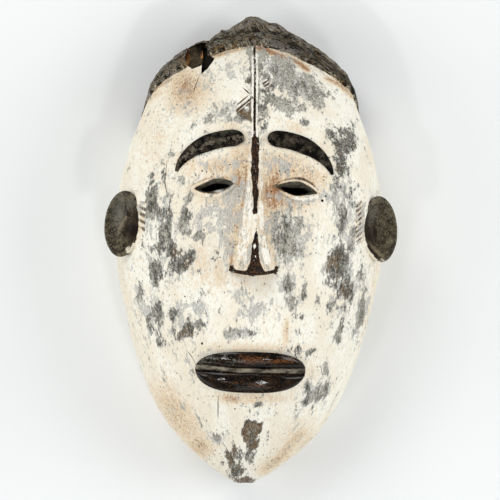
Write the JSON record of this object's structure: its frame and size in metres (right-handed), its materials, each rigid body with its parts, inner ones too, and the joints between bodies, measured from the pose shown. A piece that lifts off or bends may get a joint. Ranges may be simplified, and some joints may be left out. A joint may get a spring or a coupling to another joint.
{
  "type": "carved wooden face mask",
  "caption": "Hollow carved wooden face mask, worn white paint over dark wood, with a hair band in tiers, crescent brows, eye slits, long thin nose, closed lips and cupped ears.",
  "frame": {"origin": "on the floor plane under the centre of the mask's outline, in the plane of its back rim", "axes": "+Z out of the face, +Y from the chin to the crown, +X to the right of someone looking at the face; the mask lies on its rim, face up"},
  "size_m": [0.219, 0.3549, 0.1401],
  "materials": {
    "painted_wood": "matt white chalk paint worn through to dark wood; hair, brows, lips and ears blackened, lips slightly glossy"
  },
  "bodies": {
    "root": {"mask": "painted_wood"}
  },
  "joints": []
}
